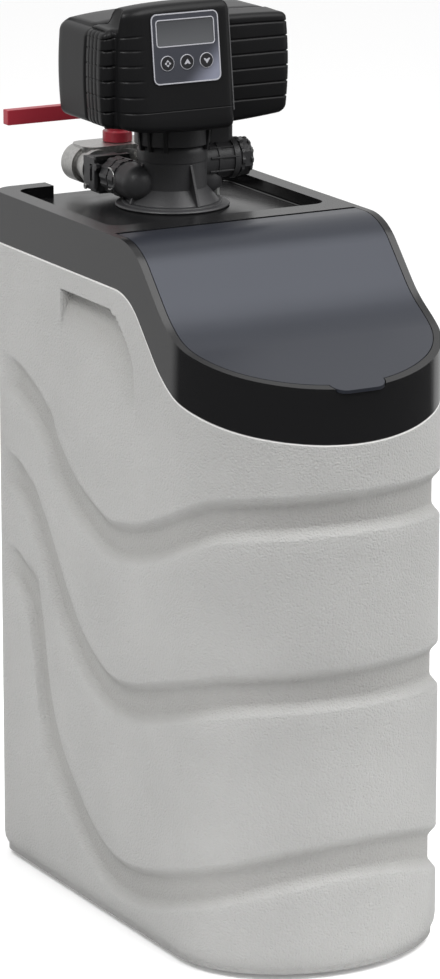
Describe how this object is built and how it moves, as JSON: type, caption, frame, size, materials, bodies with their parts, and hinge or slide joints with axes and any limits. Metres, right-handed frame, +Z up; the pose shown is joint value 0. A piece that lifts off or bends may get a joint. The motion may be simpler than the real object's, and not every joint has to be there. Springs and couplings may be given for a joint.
{
  "type": "water softener",
  "caption": "Cabinet water softener: grey brine cabinet with a hinged salt lid, resin vessel inside, motor-driven control valve with a display, and a lever bypass at the rear.",
  "frame": {"origin": "middle of the cabinet's footprint, on the floor", "axes": "+Z up, -Y towards the front bow, +X to the right seen from the front"},
  "size_m": [0.26, 0.492, 0.838],
  "materials": {
    "cabinet": "fine orange-peel grain",
    "cover_black": "polished",
    "lid_slate": "polished",
    "head_black": "satin",
    "valve_black": "glass-filled, satin",
    "white_plastic": "satin",
    "steel": "cast and brushed",
    "lever_red": "satin",
    "rubber": "moulded",
    "glass_fibre": "wound glass fibre",
    "resin": "beads",
    "board_green": "laminate",
    "panel": "printed film",
    "window": "clear",
    "brass": "turned",
    "float_orange": "foam"
  },
  "bodies": {
    "base": {"cabinet": "cabinet", "top_cover": "cover_black", "hinge_pins": "steel", "pressure_vessel": "glass_fibre", "vessel_boot": "valve_black", "resin_bed": "resin", "riser_tube": "white_plastic", "lower_basket": "white_plastic", "upper_basket": "white_plastic", "valve_body": "valve_black", "neck_collar": "valve_black", "neck_oring": "rubber", "seal_rings": "rubber", "spacer_rings": "white_plastic", "end_plug": "valve_black", "head_base": "head_black", "base_screws": "steel", "rear_housing": "head_black", "front_cover": "head_black", "head_screws": "steel", "display_panel": "panel", "lcd_window": "window", "lcd_module": "white_plastic", "circuit_board": "board_green", "board_screws": "steel", "motor_plate": "steel", "plate_screws": "steel", "gear_motor": "steel", "cap_gasket": "rubber", "injector_cap": "valve_black", "cap_screws": "steel", "injector_nozzle": "white_plastic", "brine_spring": "steel", "brine_elbow": "white_plastic", "brine_tube": "white_plastic", "brine_well": "white_plastic", "well_cap": "white_plastic", "brine_pickup": "white_plastic", "drain_elbow": "white_plastic", "power_inlet": "head_black", "port_couplings": "valve_black", "coupling_clips": "valve_black", "clip_screws": "steel", "wire_clips": "steel", "bypass_body": "steel", "overflow_elbow": "white_plastic"},
    "lid": {"salt_lid": "lid_slate"},
    "lever": {"bypass_lever": "lever_red", "bypass_plug": "white_plastic", "lever_screw": "steel"},
    "set_button": {"set_button": "head_black"},
    "up_button": {"up_button": "head_black"},
    "down_button": {"down_button": "head_black"},
    "drive_gear": {"drive_gear": "white_plastic"},
    "drive_pinion": {"drive_pinion": "white_plastic"},
    "piston": {"piston": "brass"},
    "brine_stem": {"brine_stem": "steel"},
    "float": {"brine_float": "float_orange"},
    "turbine": {"flow_turbine": "white_plastic"}
  },
  "joints": [
    {"name": "lid_hinge", "type": "hinge", "parent": "base", "child": "lid", "pos_m": [0, -0.012, 0.643], "axis": [-1, 0, 0], "range_deg": [0, 95]},
    {"name": "lever_turn", "type": "hinge", "parent": "base", "child": "lever", "pos_m": [0, 0.224, 0.7], "axis": [0, 0, -1], "range_deg": [0, 90]},
    {"name": "set_press", "type": "slide", "parent": "base", "child": "set_button", "axis": [0, 0.9925, -0.1219], "range_m": [0, 0.0008], "stiffness_N_per_m": 1500},
    {"name": "up_press", "type": "slide", "parent": "base", "child": "up_button", "axis": [0, 0.9925, -0.1219], "range_m": [0, 0.0008], "stiffness_N_per_m": 1500},
    {"name": "down_press", "type": "slide", "parent": "base", "child": "down_button", "axis": [0, 0.9925, -0.1219], "range_m": [0, 0.0008], "stiffness_N_per_m": 1500},
    {"name": "drive_turn", "type": "hinge", "parent": "base", "child": "drive_gear", "pos_m": [0, 0.115, 0.736], "axis": [0, 0, 1], "range_deg": [0, 480]},
    {"name": "pinion_turn", "type": "hinge", "parent": "base", "child": "drive_pinion", "pos_m": [-0.0325, 0.115, 0.736], "axis": [0, 0, 1], "range_deg": [-1920, 0]},
    {"name": "piston_slide", "type": "slide", "parent": "base", "child": "piston", "axis": [0, 0, 1], "range_m": [0, 0.016]},
    {"name": "stem_press", "type": "slide", "parent": "base", "child": "brine_stem", "axis": [0, 0, -1], "range_m": [0, 0.004], "stiffness_N_per_m": 800, "deforming": ["brine_spring"]},
    {"name": "float_rise", "type": "slide", "parent": "base", "child": "float", "axis": [0, 0, 1], "range_m": [0, 0.025]},
    {"name": "turbine_spin", "type": "hinge", "parent": "base", "child": "turbine", "pos_m": [-0.034, 0.16, 0.664], "axis": [0, 1, 0], "continuous": true}
  ],
  "couplings": [
    {"joint": "drive_turn", "follows": "piston_slide", "rad_per_m": 523.6},
    {"joint": "pinion_turn", "follows": "piston_slide", "rad_per_m": -2094.4}
  ]
}
